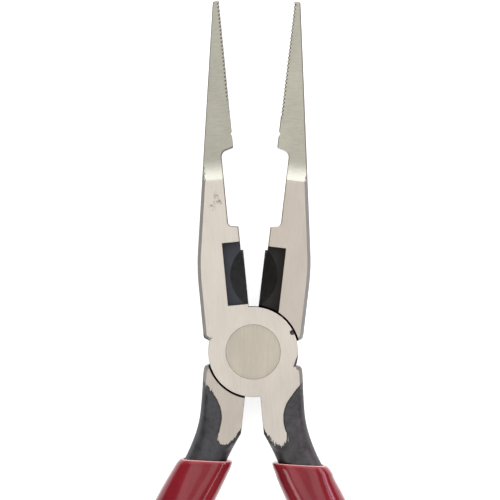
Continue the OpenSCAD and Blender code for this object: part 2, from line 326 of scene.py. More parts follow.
def tongue_distance(points):
    """How far inside the ground area a point is, negative outside it."""
    edge = spline(TONGUE, 6)
    area = edge + [(-14, -15), (-14, 100), (14, 100)]       # all of the jaw and plate counts as inside
    d = distance(points, edge)
    return np.where(inside(points, area), d, -d)


# ---------- height of the two faces ----------
def nose_half(y):
    """Half thickness of the nose at y: a wheel radius, then a straight slope."""
    drop = MID - NOSE_ROOT_T / 2
    run = math.sqrt(NOSE_BLEND_R ** 2 - (NOSE_BLEND_R - drop) ** 2)
    slope = (NOSE_ROOT_T - NOSE_TIP_T) / 2 / (NOSE_REACH - NOSE_START)
    y0 = NOSE_START + run
    wheel = NOSE_ROOT_T / 2 + NOSE_BLEND_R - np.sqrt(np.maximum(NOSE_BLEND_R ** 2 - (y - y0) ** 2, 0))
    line = NOSE_ROOT_T / 2 - (y - y0) * slope
    return np.where(y < NOSE_START, MID, np.where(y < y0, wheel, line))


def rounding(d, radius):
    d = np.minimum(d, radius)
    return radius - np.sqrt(np.maximum(radius ** 2 - (radius - d) ** 2, 0))


tang_half = table((-123, 3.5), (-60, 4.2), (-31, 4.45), (-25.5, 4.75), (-21, 5.2), (-16, 5.5))
forged_edge_r = table((-24, 3.1), (-17, 1.7))


def face_height(points, side, outline, outer_paths):
    """Height of a face above the middle plane at each (x, y)."""
    p = np.asarray(points, float)
    x, y = p[:, 0], p[:, 1]
    u = -x
    edge = distance(p, outline, closed=True)
    outer = distance(p, outer_paths[0])
    outer_handle = distance(p, outer_paths[1])
    tongue = tongue_distance(p)
    handle = y < 0
    h = np.where(y > NOSE_START, nose_half(y), MID)

    # forged crown beyond the ground tongue
    beyond = np.clip(-tongue, 0, CROWN_REACH)
    tang = MID - (MID - tang_half(y)) * ramp(beyond, 0, CROWN_BLEND)
    h = np.where(handle, np.minimum(h - CROWN_SLOPE * beyond - CROWN_BEND * beyond ** 2, tang), h)

    # bevel along the outer edges
    clear = ramp(np.hypot(x, y), PLATE_R + BEVEL_CLEAR[0], PLATE_R + BEVEL_CLEAR[1])
    bevel = MID - clear * BEVEL_H * (1 - outer / BEVEL_W)
    h = np.where((y > JAW_SHOULDER[1] - 0.15) & (u > 0), np.minimum(h, bevel), h)
    fade = clear * ramp(y, *BEVEL_FADE_Y)
    bevel_handle = MID - fade * BEVEL_H * (1 - outer_handle / BEVEL_W)
    h = np.where(handle & (x > 5) & (fade > 0), np.minimum(h, bevel_handle), h)

    # rounded edges: crisp where the faces are ground, soft where they stay as forged
    soft = np.where(handle, ramp(-tongue, 0.1, 1.6), 0)
    gripping = (u > -0.5) & (y > PLATE_R) & (outer > 1.2)
    radius = np.where(gripping, GRIPPING_EDGE_R, GROUND_EDGE_R) + soft * forged_edge_r(y)
    h = h - rounding(edge, radius)

    # cutter recess with its bevel and its hollow-ground scoop
    foot, top = RECESS_Y[side]
    depth_in = np.minimum.reduce([RECESS_W - u, y - foot, top - y])
    floor = np.full(len(p), MID - RECESS_D)
    blade = EDGE_HALF + (MID - RECESS_D - EDGE_HALF) * np.clip(u - CLOSING_GAP, 0, BLADE_W) / BLADE_W
    scoop = MID - RECESS_D - (scoop_line(y) - u)
    lowest = np.maximum(np.minimum(floor, np.minimum(blade, scoop)), EDGE_HALF)
    cut = np.where(y < EDGE_TOP + 0.01, lowest, floor)
    wall = np.clip(depth_in / WALL, 0, 1)
    in_recess = (depth_in > -1e-6) & (u > 0)
    h = np.where(in_recess, np.minimum(h, h * (1 - wall) + cut * wall), h)

    if side == "plate":
        h = h - KNOCK_DEPTH * ramp(-knock_distance(x, y), -0.6, -0.1)
    return h


def scoop_line(y):
    """How far from the closing plane the scoop meets the recess's floor."""
    reach = np.clip(SCOOP_R ** 2 - (y - SCOOP_Y) ** 2, 0, None)
    return SCOOP_U - math.sqrt(2) * (SCOOP_R - np.sqrt(reach))


def knock_distance(x, y):
    """Distance from the middle of the knock."""
    a = math.radians(KNOCK[1])
    return np.hypot(x - KNOCK[0] * math.cos(a), y - KNOCK[0] * math.sin(a))


# ---------- sheets, walls and booleans ----------
def inset(outline, d):
    """Points d inside the closed outline, without those that come too near another part of it."""
    a = np.array(outline, float)
    before, after = a - np.roll(a, 1, axis=0), np.roll(a, -1, axis=0) - a
    before /= np.linalg.norm(before, axis=1)[:, None]
    after /= np.linalg.norm(after, axis=1)[:, None]
    n = np.stack([-(before + after)[:, 1], (before + after)[:, 0]], axis=1)
    n /= np.maximum(np.linalg.norm(n, axis=1), 1e-6)[:, None]
    stretch = np.maximum((n * np.stack([-after[:, 1], after[:, 0]], axis=1)).sum(1), 0.35)
    p = a + n * (d / stretch)[:, None]
    keep = (np.abs(distance(p, outline, closed=True) - d) < 0.02 + 0.02 * d) & inside(p, outline)
    p = p[keep]
    out = []
    for q in p:                                    # thin out crowded points
        if not out or np.linalg.norm(q - out[-1]) > 0.45 * min(0.4, d + 0.12):
            out.append(q)
    return np.array(out).reshape(-1, 2)


def creases(side):
    """Lines that the sheet's triangles must follow, just short of the outline."""
    foot, top = RECESS_Y[side]
    lines = []
    for k in (0, WALL):
        u, y1, y0 = RECESS_W - k, top - k, foot + k
        high_u = LAND_GAP + 0.05
        low_u = 0.06 if side == "plate" else RECESS_W - k - 0.3
        lines.append(resample([(-high_u, y1), (-u, y1), (-u, y0), (-low_u, y0)], CREASE_STEP))
    lines.append(resample([(-3.0, NOSE_START), (-taper_x(NOSE_START) + 0.03, NOSE_START)], 0.35))
    lines.append([(-scoop_line(y), y) for y in np.linspace(SCOOP_Y - 5.9, SCOOP_Y + 6.1, 33)])
    return lines


def sheet(side, outline, outer_paths):
    """One face as (vertices, triangles, index of each outline point)."""
    rings = [inset(outline, d) for d in EDGE_RINGS]
    for d in FORGED_RINGS:
        ring = inset(outline, d)
        rings.append(ring[ring[:, 1] < FORGED_RINGS_Y])
    lines = creases(side)
    low, high = np.min(outline, axis=0), np.max(outline, axis=0)

    def grid(step, x0, x1, y0, y1, clear):
        gx, gy = np.meshgrid(np.arange(x0, x1, step), np.arange(y0, y1, step))
        g = np.stack([gx.ravel(), gy.ravel()], axis=1) + 0.013
        g = g[inside(g, outline)]
        g = g[distance(g, outline, closed=True) > clear]
        for line in lines:
            g = g[distance(g, line) > step * 0.45]
        return g

    grids = [grid(COARSE_GRID, low[0], high[0], 28, high[1], 1.2),
             grid(FINE_GRID, -RECESS_W - 1, 0, 9, 27, 0.3),
             grid(FINE_GRID, 0, 14, -29, -4, 1.2),
             grid(COARSE_GRID, low[0], -RECESS_W - 1, -10, 28, 1.2),
             grid(COARSE_GRID, -RECESS_W - 1, high[0], -4, 9, 1.2),
             grid(COARSE_GRID, -8, 0, -10, -4, 1.2),
             grid(TANG_GRID, 0, high[0], low[1], -29, 2.1),
             grid(FILLET_GRID, -10, 0, NOSE_START + 0.3, NOSE_START + 5, 0.35)]
    points = [tuple(p) for p in outline]
    edges = []
    for line in lines:
        start = len(points)
        points += [tuple(p) for p in line]
        edges += [(start + i, start + i + 1) for i in range(len(line) - 1)]
    for extra in rings + grids:
        points += [tuple(p) for p in extra]
    result = delaunay_2d_cdt([Vector(p) for p in points], edges, [list(range(len(outline)))], 1, 1e-5)
    vertices, triangles, sources = result[0], result[2], result[3]
    xy = np.array([tuple(v) for v in vertices])
    where = {}
    for index, source in enumerate(sources):
        for s in source:
            if s < len(outline):
                where[s] = index
    rim = [where[i] for i in range(len(outline))]
    h = face_height(xy, side, outline, outer_paths)
    return xy, h, triangles, rim


def forging_mesh():
    """The closed forging before its seat and rivet hole are cut, as (vertices, faces)."""
    jaw_in, jaw_out, rim_a, handle, rim_b = forging_outline()
    outline = jaw_in + jaw_out + rim_a + handle + rim_b
    kept = []
    for p in outline:
        if not kept or math.dist(p, kept[-1]) > SAME_POINT:
            kept.append(p)
    if math.dist(kept[0], kept[-1]) < SAME_POINT:
        kept.pop()
    outline = kept[::-1] if signed_area(kept) < 0 else kept
    outer_paths = ([(-u, y) for u, y in outer_side()], HANDLE_OUTER)
    verts, faces, rims = [], [], []
    for side, sign in (("plate", 1), ("seat", -1)):
        xy, h, triangles, rim = sheet(side, outline, outer_paths)
        start = len(verts)
        verts += [(p[0], p[1], MID + sign * z) for p, z in zip(xy, h)]
        for t in triangles:
            t = [start + i for i in t]
            a, b, c = (np.array(verts[i][:2]) for i in t[:3])
            up = (b - a)[0] * (c - a)[1] - (b - a)[1] * (c - a)[0] > 0
            faces.append(t if up == (sign > 0) else t[::-1])
        rims.append([start + i for i in rim])
    loops = [rims[0]]
    for k in range(1, WALL_LEVELS):
        loop = []
        for i, j in zip(*rims):
            loop.append(len(verts))
            top, low = verts[i], verts[j]
            verts.append((top[0], top[1], top[2] + (low[2] - top[2]) * k / WALL_LEVELS))
        loops.append(loop)
    loops.append(rims[1])
    n = len(outline)
    for upper, lower in zip(loops[:-1], loops[1:]):
        for i in range(n):
            j = (i + 1) % n
            faces.append((upper[i], lower[i], lower[j], upper[j]))
    return verts, faces


def signed_area(path):
    a = np.array(path)
    b = np.roll(a, -1, axis=0)
    return ((a[:, 0] * b[:, 1]) - (b[:, 0] * a[:, 1])).sum() / 2


def lathe(profile, segments):
    """Closed solid turned from (radius, z) points, which start and end on the axis."""
    verts, faces = [(0, 0, profile[0][1])], []
    for r, z in profile[1:-1]:
        verts += [(r * math.cos(a), r * math.sin(a), z) for a in np.arange(segments) * 2 * math.pi / segments]
    last = len(verts)
    verts.append((0, 0, profile[-1][1]))
    rows = len(profile) - 2
    for i in range(segments):
        j = (i + 1) % segments
        faces.append((0, 1 + j, 1 + i))
        for k in range(rows - 1):
            a = 1 + k * segments
            faces.append((a + i, a + j, a + segments + j, a + segments + i))
        a = 1 + (rows - 1) * segments
        faces.append((a + i, a + j, last))
    return verts, faces


def new_object(name, verts, faces, scale=MM):
    mesh = bpy.data.meshes.new(name)
    mesh.from_pydata([(x * scale, y * scale, z * scale) for x, y, z in verts], [], [list(f) for f in faces])
    mesh.validate()
    mesh.update()
    piece = bpy.data.objects.new(name, mesh)
    bpy.context.collection.objects.link(piece)
    return piece


def bake_modifiers(piece):
    """Bakes the piece's modifiers into its mesh."""
    graph = bpy.context.evaluated_depsgraph_get()
    mesh = bpy.data.meshes.new_from_object(piece.evaluated_get(graph))
    piece.modifiers.clear()
    piece.data = mesh


def smooth(piece, angle=35):
    mesh = piece.data
    mesh.shade_smooth()
    mesh.set_sharp_from_angle(angle=math.radians(angle))


def coordinates(mesh):
    co = np.empty(len(mesh.vertices) * 3)
    mesh.vertices.foreach_get("co", co)
    return co.reshape(-1, 3)


def attribute(mesh, name, values):
    vector = np.ndim(values) == 2
    layer = mesh.attributes.new(name, "FLOAT_VECTOR" if vector else "FLOAT", "POINT")
    layer.data.foreach_set("vector" if vector else "value", np.ascontiguousarray(values, dtype=float).ravel())


def fix_normals(mesh):
    work = bmesh.new()
    work.from_mesh(mesh)
    bmesh.ops.recalc_face_normals(work, faces=work.faces)
    work.to_mesh(mesh)
    work.free()


def set_open(points, half):
    """Turns closed-frame points (mm) open about the pivot, as the left or the right jaw's half."""
    p = np.array(points, float)
    turn = math.radians(HALF_OPEN)
    if half == "right":
        p = p * (-1, 1, -1) + (0, 0, JOINT_T)
        turn = -turn
    c, s = math.cos(turn), math.sin(turn)
    return np.stack([p[:, 0] * c - p[:, 1] * s, p[:, 0] * s + p[:, 1] * c, p[:, 2]], axis=1)


def brightness(p):
    """Signed distance in mm into the ground-bright part of a forging; negative where it is black."""
    x, y, z = p.T
    r = np.hypot(x, y)
    depth = MID - np.abs(z - MID)
    b = np.full(len(p), 3.0)
    tongue = tongue_distance(p[:, :2])
    b = np.where(y < 0, np.minimum(b, tongue), b)
    b = np.where((y < -8.4) & (depth > 0.3) & (tongue > -0.5) & (r > SEAT_R), -0.5, b)
    for side, sign in (("plate", 1), ("seat", -1)):
        foot, top = RECESS_Y[side]
        depth_in = np.minimum.reduce([RECESS_W + x, y - foot, top - y])
        here = ((z - MID) * sign > -0.2) & (x < 0) & (depth_in > 0)
        b = np.where(here, np.minimum(b, (WALL / 2 - depth_in) * 8), b)
    return b


def slant(p):
    """The teeth are cut a little off square, so each groove slants along the nose."""
    off_square = 0.07
    x, y, z = p.T
    share = ramp(x, -2.2, -0.5) * ramp(y, TEETH_END - 3, TEETH_END - 0.5) * ramp(-y, -80.7, -79.0)
    return share * (z - MID) * off_square


# ---------- materials ----------
class Tree:
    """A material's node tree, with short calls for the nodes used here."""

    def __init__(self, name, **constants):
        self.material = bpy.data.materials.new(name)
        self.material.use_nodes = True
        self.nodes, self.links = self.material.node_tree.nodes, self.material.node_tree.links
        self.shader = self.nodes["Principled BSDF"]
        for key, value in constants.items():
            self.shader.inputs[key.replace("_", " ")].default_value = value

    def put(self, socket, value):
        if isinstance(value, bpy.types.NodeSocket):
            self.links.new(value, socket)
        else:
            socket.default_value = value

    def math(self, kind, a, b=0.0):
        node = self.nodes.new("ShaderNodeMath")
        node.operation = kind
        self.put(node.inputs[0], a)
        self.put(node.inputs[1], b)
        return node.outputs[0]

    def mix(self, share, a, b, blend="MIX"):
        """Mixes two colours."""
        node = self.nodes.new("ShaderNodeMix")
        node.data_type, node.blend_type = "RGBA", blend
        self.put(node.inputs[0], share)
        self.put(node.inputs[6], a)
        self.put(node.inputs[7], b)
        return node.outputs[2]

    def blend(self, share, a, b):
        """Mixes two numbers."""
        node = self.nodes.new("ShaderNodeMix")
        self.put(node.inputs[0], share)
        self.put(node.inputs[2], a)
        self.put(node.inputs[3], b)
        return node.outputs[0]

    def step(self, value, low, high, out_low=0.0, out_high=1.0):
        """Smooth step from out_low at low to out_high at high; low may be the larger of the two."""
        node = self.nodes.new("ShaderNodeMapRange")
        node.interpolation_type = "SMOOTHSTEP"
        for index, number in enumerate((value, low, high, out_low, out_high)):
            self.put(node.inputs[index], number)
        return node.outputs[0]

    def noise(self, vector, stretch, detail=3.0, roughness=0.55, distortion=0.0):
        scaled = self.nodes.new("ShaderNodeVectorMath")
        scaled.operation = "MULTIPLY"
        self.links.new(vector, scaled.inputs[0])
        scaled.inputs[1].default_value = stretch
        node = self.nodes.new("ShaderNodeTexNoise")
        self.links.new(scaled.outputs[0], node.inputs["Vector"])
        node.inputs["Scale"].default_value = 1.0
        node.inputs["Detail"].default_value = detail
        node.inputs["Roughness"].default_value = roughness
        node.inputs["Distortion"].default_value = distortion
        return node.outputs["Fac"]

    def read(self, name, vector=False):
        node = self.nodes.new("ShaderNodeAttribute")
        node.attribute_name = name
        return node.outputs["Vector" if vector else "Fac"]

    def split(self, vector):
        node = self.nodes.new("ShaderNodeSeparateXYZ")
        self.links.new(vector, node.inputs[0])
        return node.outputs

    def bump(self, height, distance_mm, strength=1.0):
        node = self.nodes.new("ShaderNodeBump")
        node.inputs["Strength"].default_value = strength
        node.inputs["Distance"].default_value = distance_mm * MM
        self.links.new(height, node.inputs["Height"])
        self.links.new(node.outputs[0], self.shader.inputs["Normal"])

    def all_of(self, first, *others):
        for other in others:
            first = self.math("MULTIPLY", first, other)
        return first

    def gray(self, value):
        node = self.nodes.new("ShaderNodeCombineColor")
        for index in range(3):
            self.links.new(value, node.inputs[index])
        return node.outputs[0]

    def dot(self, a, b, size, core):
        """1 within core of the point where a and b are 0, falling to 0 at size."""
        square = self.math("ADD", self.math("MULTIPLY", a, a), self.math("MULTIPLY", b, b))
        return self.step(self.math("SQRT", square), size, core)

    def finish(self, **sockets):
        for key, value in sockets.items():
            self.put(self.shader.inputs[key.replace("_", " ")], value)
        return self.material


def rgb(r, g, b):
    return (r, g, b, 1.0)


NOSE_ROOT_HIGHLIGHT = rgb(0.74, 0.75, 0.665)                # painted highlight on the nose's root, where the wheel ran out
TARNISH = rgb(0.10, 0.085, 0.07)
SHADED_EDGE = rgb(0.09, 0.085, 0.08)
# painted shade in the teeth's grooves
GROOVE_SHADE = rgb(0.04, 0.038, 0.035)
# painted shadow along the edge of the ground tongue
EDGE_SHADOW_COLOUR = rgb(0.018, 0.017, 0.017)
WORN_OXIDE = rgb(0.22, 0.21, 0.2)
KNOCK_FLOOR = rgb(0.15, 0.145, 0.135)
RIVET_FACE = rgb(0.455, 0.414, 0.343)
VINYL = (rgb(0.172, 0.004, 0.0095), rgb(0.222, 0.006, 0.014))
# lighter red near the rim: thinner vinyl there, with a painted highlight leading into the rim
THIN_VINYL_AND_HIGHLIGHT = rgb(0.42, 0.03, 0.045)
# painted highlight along the top of the grips' rim
RIM_HIGHLIGHT = rgb(0.78, 0.42, 0.38)
TARNISH_SPOTS = ((-4.7, 36.4, 1.3), (-4.2, 35.0, 0.9), (-6.1, 33.8, 1.1), (-5.3, 34.9, 0.9))


def forged_steel(name, look):
    """Ground steel, black oxide and the steep sides, told apart by the mesh's own measures; the steep sides
    and bevels take a darker colour as painted shade.
    """
    t = Tree(name)
    local = t.read("local", vector=True)
    x, y, z = t.split(local)
    u = t.math("MULTIPLY", x, -1.0)
    bright = t.read("bright")
    rim = t.read("rim")
    geometry = t.nodes.new("ShaderNodeNewGeometry")
    up = t.math("ABSOLUTE", t.split(geometry.outputs["Normal"])[2])
    # faces turned sideways get the darker colour of the steep sides: painted shade
    flank_shade = t.step(up, 0.66, 0.56)
    on_nose = t.step(y, NOSE_START - 0.05, NOSE_START + 0.05)

    # where the grinder's streaks run out into the oxide
    streaks = t.noise(local, (3.4, 0.35, 3.4), 2.0, 0.6)
    ragged = t.blend(t.step(y, -13, -9), 0.2, look["ragged_top"])
    ragged = t.blend(t.step(y, -17.5, -20.5), ragged, look["ragged_end"])
    ragged = t.blend(t.step(y, 0, 2), ragged, 0.1)
    shifted = t.math("ADD", bright, t.math("MULTIPLY", t.math("SUBTRACT", streaks, 0.5), ragged))
    ground = t.step(shifted, -0.07, 0.07)
    radius = t.math("SQRT", t.math("ADD", t.math("MULTIPLY", x, x), t.math("MULTIPLY", y, y)))
    seat = t.all_of(t.step(radius, SEAT_R + 0.06, SEAT_R + 0.02), t.step(z, MID + 0.2, MID + 0.1),
                    t.step(z, 0.03, 0.12))
    rim_wall = t.all_of(t.step(radius, PLATE_R - 0.05, PLATE_R - 0.02),
                        t.step(radius, PLATE_R + 0.05, PLATE_R + 0.02),
                        t.step(z, JOINT_T - 0.12, JOINT_T - 0.2), t.step(z, MID - 0.2, MID - 0.1))
    crescent = t.math("ADD", radius, t.step(y, -1.0, -3.4, 0.0, 0.52))
    missed = t.all_of(t.step(crescent, PLATE_R - 0.05, PLATE_R + 0.05), t.step(x, 0.0, 1.0),
                      t.step(y, -4.45, -4.15), t.step(y, -0.9, -1.2), t.step(z, MID, MID + 0.1))
    turn = math.radians(KNOCK[1])
    knock_x, knock_y = KNOCK[0] * math.cos(turn), KNOCK[0] * math.sin(turn)
    knock = t.math("MULTIPLY", t.step(z, MID, MID + 0.1),
                   t.dot(t.math("SUBTRACT", x, knock_x), t.math("SUBTRACT", y, knock_y), 0.66, 0.46))
    knock_floor = t.math("MULTIPLY", knock, t.dot(t.math("SUBTRACT", x, knock_x + 0.14),
                                                  t.math("SUBTRACT", y, knock_y - 0.10), 0.55, 0.30))
    for dark in (seat, rim_wall, missed, knock):
        ground = t.math("MULTIPLY", ground, t.math("SUBTRACT", 1.0, dark))

    # brushed grain: along the pliers on the faces, across them on the nose
    grain_y = t.noise(local, (5.5, 0.22, 5.5), 5.0, 0.65)
    grain_x = t.noise(local, (0.50, 3.6, 3.6), 6.0, 0.75, 0.2)
    grain = t.blend(on_nose, grain_y, grain_x)
    cloud = t.noise(local, (0.22, 0.10, 0.22), 4.0, 0.55)
    low, high = t.blend(on_nose, 0.94, 0.87), t.blend(on_nose, 1.05, 1.10)
    shade = t.math("ADD", t.step(grain, 0.25, 0.75, low, high), t.step(cloud, 0.3, 0.7, -0.04, 0.035))
    # the faces darker towards the handle: painted shade
    shade = t.math("ADD", shade, t.step(y, 3.0, -10.0, 0.0, -0.06))
    # the nose takes a darker colour than the face: painted shade for the weaker reflection of its crosswise
    # grain
    metal = t.mix(on_nose, rgb(*look["face"]), rgb(*look["nose"]))
    # the nose's root is mixed towards a pale colour: a painted highlight where the curved root faces the
    # light
    crest_highlight = t.math("MULTIPLY", t.step(y, NOSE_START + 5.2, NOSE_START + 0.4), on_nose)
    metal = t.mix(t.math("MULTIPLY", crest_highlight, 0.6), metal, NOSE_ROOT_HIGHLIGHT)
    metal = t.mix(1.0, metal, t.gray(shade), "MULTIPLY")

    # tarnish spots on the jaw's face
    spots = t.noise(local, (1.7, 1.3, 1.7), 4.0, 0.7)
    near = 0.0
    for spot_x, spot_y, size in TARNISH_SPOTS:
        spot = t.dot(t.math("SUBTRACT", x, spot_x), t.math("SUBTRACT", y, spot_y), size, size * 0.3)
        near = t.math("MAXIMUM", near, spot)
    stain = t.all_of(t.step(spots, 0.44, 0.60), near, look["stained"])
    metal = t.mix(stain, metal, TARNISH)

    # steep sides and bevels painted darker as shade, painted light and shade on the inner wall and by the
    # jaw's shoulder, a painted dark band of shade along the nose's outer edge, and the painted shaded edge of
    # the gripping side
    side_tone = t.step(t.noise(local, (0.5, 0.3, 2.2), 4.0, 0.6), 0.3, 0.7, 0.9, 1.08)
    steep_side_shading = t.mix(1.0, rgb(*look["flank_shade"]), t.gray(side_tone), "MULTIPLY")
    slope = math.tan(JAW_TAPER)
    edge_u = t.math("SUBTRACT", TAPER_START[0] + TAPER_START[1] * slope, t.math("MULTIPLY", y, slope))
    outer = t.math("SUBTRACT", edge_u, u)
    # the inner walls above the cutting edge: painted shade on the left half, painted light on the right half
    inner = t.math("MULTIPLY", t.step(outer, 0.9, 1.3), t.step(y, EDGE_TOP - 1, EDGE_TOP))
    steep_side_shading = t.mix(inner, steep_side_shading, rgb(*look["inner_wall_shading"]))
    # the steep side by the jaw's outer corner: painted shade on the left half, painted light on the right
    # half
    corner = t.all_of(t.step(y, 5.4, 4.8), t.step(y, 3.0, 3.2), t.step(rim, 0.42, 0.26))
    steep_side_shading = t.mix(corner, steep_side_shading, rgb(*look["corner"]))
    metal = t.mix(flank_shade, metal, steep_side_shading)
    # a painted dark band of shade along the nose's rounded outer edge
    metal = t.mix(t.all_of(t.step(outer, 0.40, 0.22), on_nose, look["outer_line"]), metal, steep_side_shading)
    inner_side = t.all_of(t.step(rim, 0.26, 0.14), t.step(outer, 0.8, 1.2),
                          t.step(y, EDGE_TOP, EDGE_TOP + 0.3), t.step(y, HOLLOW_TOP + 0.5, HOLLOW_TOP),
                          look["inner_line"])
    metal = t.mix(inner_side, metal, SHADED_EDGE)

    # painted shade in the grooves of the gripping teeth
    tooth = t.math("DIVIDE", t.math("SUBTRACT", FIRST_GROOVE_Y, y), TOOTH_PITCH)
    off = t.math("SUBTRACT", t.math("FRACT", t.math("ADD", tooth, 0.5)), 0.5)
    groove = t.dot(t.math("MULTIPLY", off, TOOTH_PITCH * 1.25), t.math("SUBTRACT", u, 0.30), 0.36, 0.2)
    groove = t.all_of(groove, t.step(y, look["groove_shade_from"], look["groove_shade_from"] + 1.5), 0.92)
    metal = t.mix(groove, metal, GROOVE_SHADE)

    # black oxide, deeper in the cutter's recess and darkest where the scoop turns away from the light
    mottle = t.noise(local, (0.8, 0.8, 0.8), 5.0, 0.65)
    tone = t.step(mottle, 0.32, 0.70, 0.82, 1.2)
    scoop = t.math("MULTIPLY", t.step(t.read("scoop"), -0.06, 0.06), t.step(y, EDGE_TOP, EDGE_TOP - 0.1))
    blade = t.step(u, CLOSING_GAP + BLADE_W + 0.04, CLOSING_GAP + BLADE_W - 0.04)
    deep = t.mix(scoop, t.mix(blade, rgb(*look["recess"]), rgb(*look["blade"])), rgb(*look["scoop"]))
    oxide = t.mix(t.step(y, 0.0, 1.0), rgb(*look["oxide"]), deep)
    oxide = t.mix(1.0, oxide, t.gray(tone), "MULTIPLY")
    # a painted shadow line in the oxide just outside the ground tongue's edge
    tongue_edge_shadow = t.math("MULTIPLY", t.step(shifted, -0.5, -0.12), t.step(y, -5, -6))
    oxide = t.mix(t.math("MULTIPLY", tongue_edge_shadow, 0.6), oxide, EDGE_SHADOW_COLOUR)
    worn = t.all_of(t.step(rim, 0.35, 0.0), t.step(mottle, 0.45, 0.6), t.step(y, 0.0, -1.0))
    oxide = t.mix(t.math("MULTIPLY", worn, 0.3), oxide, WORN_OXIDE)

    surface = t.mix(ground, oxide, metal)
    colour = t.mix(t.math("MULTIPLY", knock_floor, 0.85), surface, KNOCK_FLOOR)
    rough_metal = t.step(grain, 0.2, 0.8, 0.30, 0.44)
    rough_oxide = t.math("ADD", t.step(mottle, 0.3, 0.7, 0.42, 0.56), t.step(y, 0.0, 1.0, 0.0, 0.3))
    rough = t.blend(ground, rough_oxide, rough_metal)
    height = t.blend(ground, t.math("MULTIPLY", mottle, 1.4), t.math("MULTIPLY", grain, 0.5))
    t.bump(height, 0.02, 0.55)
    return t.finish(Base_Color=colour, Metallic=t.blend(ground, 0.9, 1.0), Roughness=rough)


# the two halves' colours: the steel's own tones, the darker nose and steep sides as painted shade, the inner
# wall and the corner by the jaw's shoulder as painted shade on the left half and painted light on the right
# half, and where and how strongly shade is painted in the grooves and along the edges
LEFT_LOOK = {"face": (0.556, 0.510, 0.452), "nose": (0.358, 0.350, 0.292),
             "flank_shade": (0.145, 0.139, 0.125), "inner_wall_shading": (0.12, 0.115, 0.11),
             "oxide": (0.070, 0.069, 0.070), "corner": (0.02, 0.019, 0.018),
             "recess": (0.079, 0.085, 0.094), "scoop": (0.050, 0.053, 0.049), "blade": (0.030, 0.030, 0.030),
             "stained": 0.7, "groove_shade_from": 57.0, "ragged_top": 0.25, "ragged_end": 3.4,
             "inner_line": 0.8, "outer_line": 0.3}
RIGHT_LOOK = {"face": (0.472, 0.423, 0.368), "nose": (0.389, 0.378, 0.312),
              "flank_shade": (0.165, 0.165, 0.157), "inner_wall_shading": (0.6, 0.57, 0.53),
              "oxide": (0.068, 0.067, 0.072), "corner": (0.30, 0.295, 0.28),
              "recess": (0.047, 0.044, 0.041), "scoop": (0.042, 0.039, 0.036), "blade": (0.022, 0.020, 0.019),
              "stained": 0.0, "groove_shade_from": 53.6, "ragged_top": 2.4, "ragged_end": 1.5,
              "inner_line": 0.0, "outer_line": 1.0}


def rivet_steel():
    t = Tree("rivet_steel", Metallic=1.0)
    local = t.read("local", vector=True)
    grain = t.noise(local, (4.5, 0.24, 4.5), 5.0, 0.65)
    cloud = t.noise(local, (0.25, 0.12, 0.25), 3.0, 0.5)
    shade = t.math("ADD", t.step(grain, 0.25, 0.75, 0.90, 1.07), t.step(cloud, 0.3, 0.7, -0.05, 0.04))
    x, y, _ = t.split(local)
    middle = t.math("MULTIPLY", t.dot(x, y, 5.2, 6.2), 0.07)
    shade = t.math("MULTIPLY", shade, t.math("SUBTRACT", 1.0, middle))
    colour = t.mix(1.0, RIVET_FACE, t.gray(shade), "MULTIPLY")
    t.bump(grain, 0.01, 0.5)
    return t.finish(Base_Color=colour, Roughness=t.step(grain, 0.2, 0.8, 0.32, 0.44))


def red_vinyl():
    t = Tree("red_vinyl", Roughness=0.20, Coat_Weight=0.36, Coat_Roughness=0.04, IOR=1.38)
    local = t.read("local", vector=True)
    cloud = t.noise(local, (0.22, 0.06, 0.22), 3.0, 0.5)
    fine = t.noise(local, (1.1, 0.5, 1.1), 3.0, 0.5)
    thin = t.read("rim")                          # mm below the rim
    colour = t.mix(t.step(cloud, 0.3, 0.7), *VINYL)
    # lighter near the rim: thinner vinyl, partly a painted highlight
    colour = t.mix(t.step(thin, 0.9, 0.2, 0.0, 0.5), colour, THIN_VINYL_AND_HIGHLIGHT)
    level = t.math("ABSOLUTE", t.math("SUBTRACT", t.split(local)[2], MID))
    # painted highlight along the rim's crest, on its top and bottom only
    crest_highlight = t.math("MULTIPLY", t.step(thin, 0.14, 0.05, 0.0, 0.9), t.step(level, 3.3, 4.3))
    colour = t.mix(crest_highlight, colour, RIM_HIGHLIGHT)
    t.bump(t.math("ADD", fine, t.math("MULTIPLY", cloud, 2.0)), 0.035, 0.4)
    return t.finish(Base_Color=colour)


